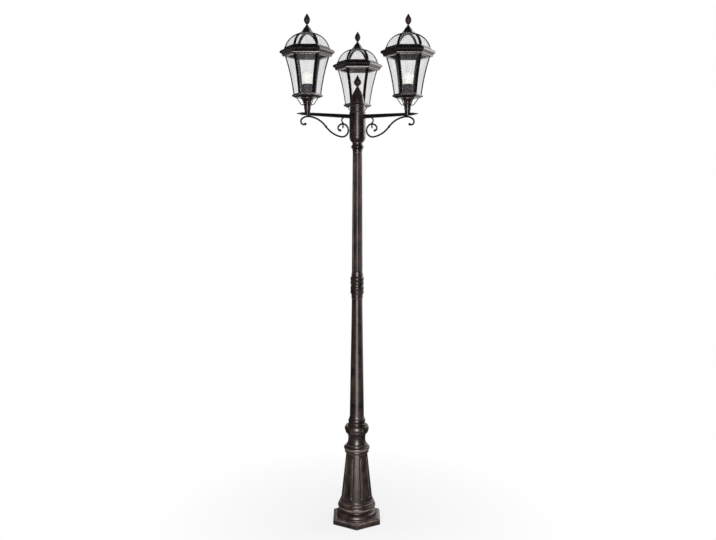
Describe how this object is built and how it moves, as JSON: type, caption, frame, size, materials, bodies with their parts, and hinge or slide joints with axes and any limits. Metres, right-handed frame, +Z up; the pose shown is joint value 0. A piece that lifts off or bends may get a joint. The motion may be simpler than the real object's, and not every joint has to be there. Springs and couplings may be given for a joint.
{
  "type": "lamp post",
  "caption": "Tall garden lamp post with a fluted pole on a six-sided plinth and a ring of six-sided glazed lanterns on scrolled arms.",
  "frame": {"origin": "centre of the plinth's underside, on the ground and on the pole's axis", "axes": "+Z up along the pole; -Y is the front, where two lanterns stand left and right; the third lantern is at the rear, towards +Y"},
  "size_m": [0.6124, 0.5304, 2.104],
  "materials": {
    "brown_paint": "dark brown satin paint over cast metal, rubbed to a pinkish brown on the raised edges",
    "pane_glass": "clear glass with a fine uneven surface",
    "bulb_opal": "opal white glass",
    "holder_plastic": "black moulded plastic",
    "bulb_metal": "bright thin sheet",
    "steel": "plated",
    "terminal_plastic": "moulded insulating plastic",
    "lead_rubber": "heat-proof sleeve"
  },
  "bodies": {
    "post": {"base_plinth": "brown_paint", "base_column": "brown_paint", "pole_socket": "brown_paint", "socket_screws": "steel", "lower_pole": "brown_paint", "pole_coupling": "brown_paint", "upper_pole": "brown_paint", "hub_collar": "brown_paint", "hub_column": "brown_paint", "terminal_block": "terminal_plastic", "lamp_leads": "lead_rubber", "lantern_nipples": "steel", "arm_rear": "brown_paint", "scroll_rear": "brown_paint", "scroll_link_rear": "brown_paint", "lantern_stem_rear": "brown_paint", "stem_braces_rear": "brown_paint", "lantern_pan_rear": "brown_paint", "lantern_cage_rear": "brown_paint", "lantern_panes_rear": "pane_glass", "lampholder_rear": "holder_plastic", "arm_left": "brown_paint", "scroll_left": "brown_paint", "scroll_link_left": "brown_paint", "lantern_stem_left": "brown_paint", "stem_braces_left": "brown_paint", "lantern_pan_left": "brown_paint", "lantern_cage_left": "brown_paint", "lantern_panes_left": "pane_glass", "lampholder_left": "holder_plastic", "arm_right": "brown_paint", "scroll_right": "brown_paint", "scroll_link_right": "brown_paint", "lantern_stem_right": "brown_paint", "stem_braces_right": "brown_paint", "lantern_pan_right": "brown_paint", "lantern_cage_right": "brown_paint", "lantern_panes_right": "pane_glass", "lampholder_right": "holder_plastic"},
    "hub_top": {"hub_cap": "brown_paint", "hub_finial": "brown_paint"},
    "roof_rear": {"roof_frame_rear": "brown_paint", "roof_panes_rear": "pane_glass", "roof_cap_rear": "brown_paint", "lantern_finial_rear": "brown_paint"},
    "bulb_rear": {"bulb_cap_rear": "bulb_metal", "bulb_glass_rear": "bulb_opal"},
    "roof_left": {"roof_frame_left": "brown_paint", "roof_panes_left": "pane_glass", "roof_cap_left": "brown_paint", "lantern_finial_left": "brown_paint"},
    "bulb_left": {"bulb_cap_left": "bulb_metal", "bulb_glass_left": "bulb_opal"},
    "roof_right": {"roof_frame_right": "brown_paint", "roof_panes_right": "pane_glass", "roof_cap_right": "brown_paint", "lantern_finial_right": "brown_paint"},
    "bulb_right": {"bulb_cap_right": "bulb_metal", "bulb_glass_right": "bulb_opal"}
  },
  "joints": [
    {"name": "hub_cap_lift", "type": "slide", "parent": "post", "child": "hub_top", "axis": [0, 0, 1], "range_m": [0, 0.06]},
    {"name": "roof_lift_rear", "type": "slide", "parent": "post", "child": "roof_rear", "axis": [0, 0, 1], "range_m": [0, 0.15]},
    {"name": "bulb_out_rear", "type": "slide", "parent": "post", "child": "bulb_rear", "axis": [0, 0, 1], "range_m": [0, 0.03]},
    {"name": "roof_lift_left", "type": "slide", "parent": "post", "child": "roof_left", "axis": [0, 0, 1], "range_m": [0, 0.15]},
    {"name": "bulb_out_left", "type": "slide", "parent": "post", "child": "bulb_left", "axis": [0, 0, 1], "range_m": [0, 0.03]},
    {"name": "roof_lift_right", "type": "slide", "parent": "post", "child": "roof_right", "axis": [0, 0, 1], "range_m": [0, 0.15]},
    {"name": "bulb_out_right", "type": "slide", "parent": "post", "child": "bulb_right", "axis": [0, 0, 1], "range_m": [0, 0.03]}
  ]
}
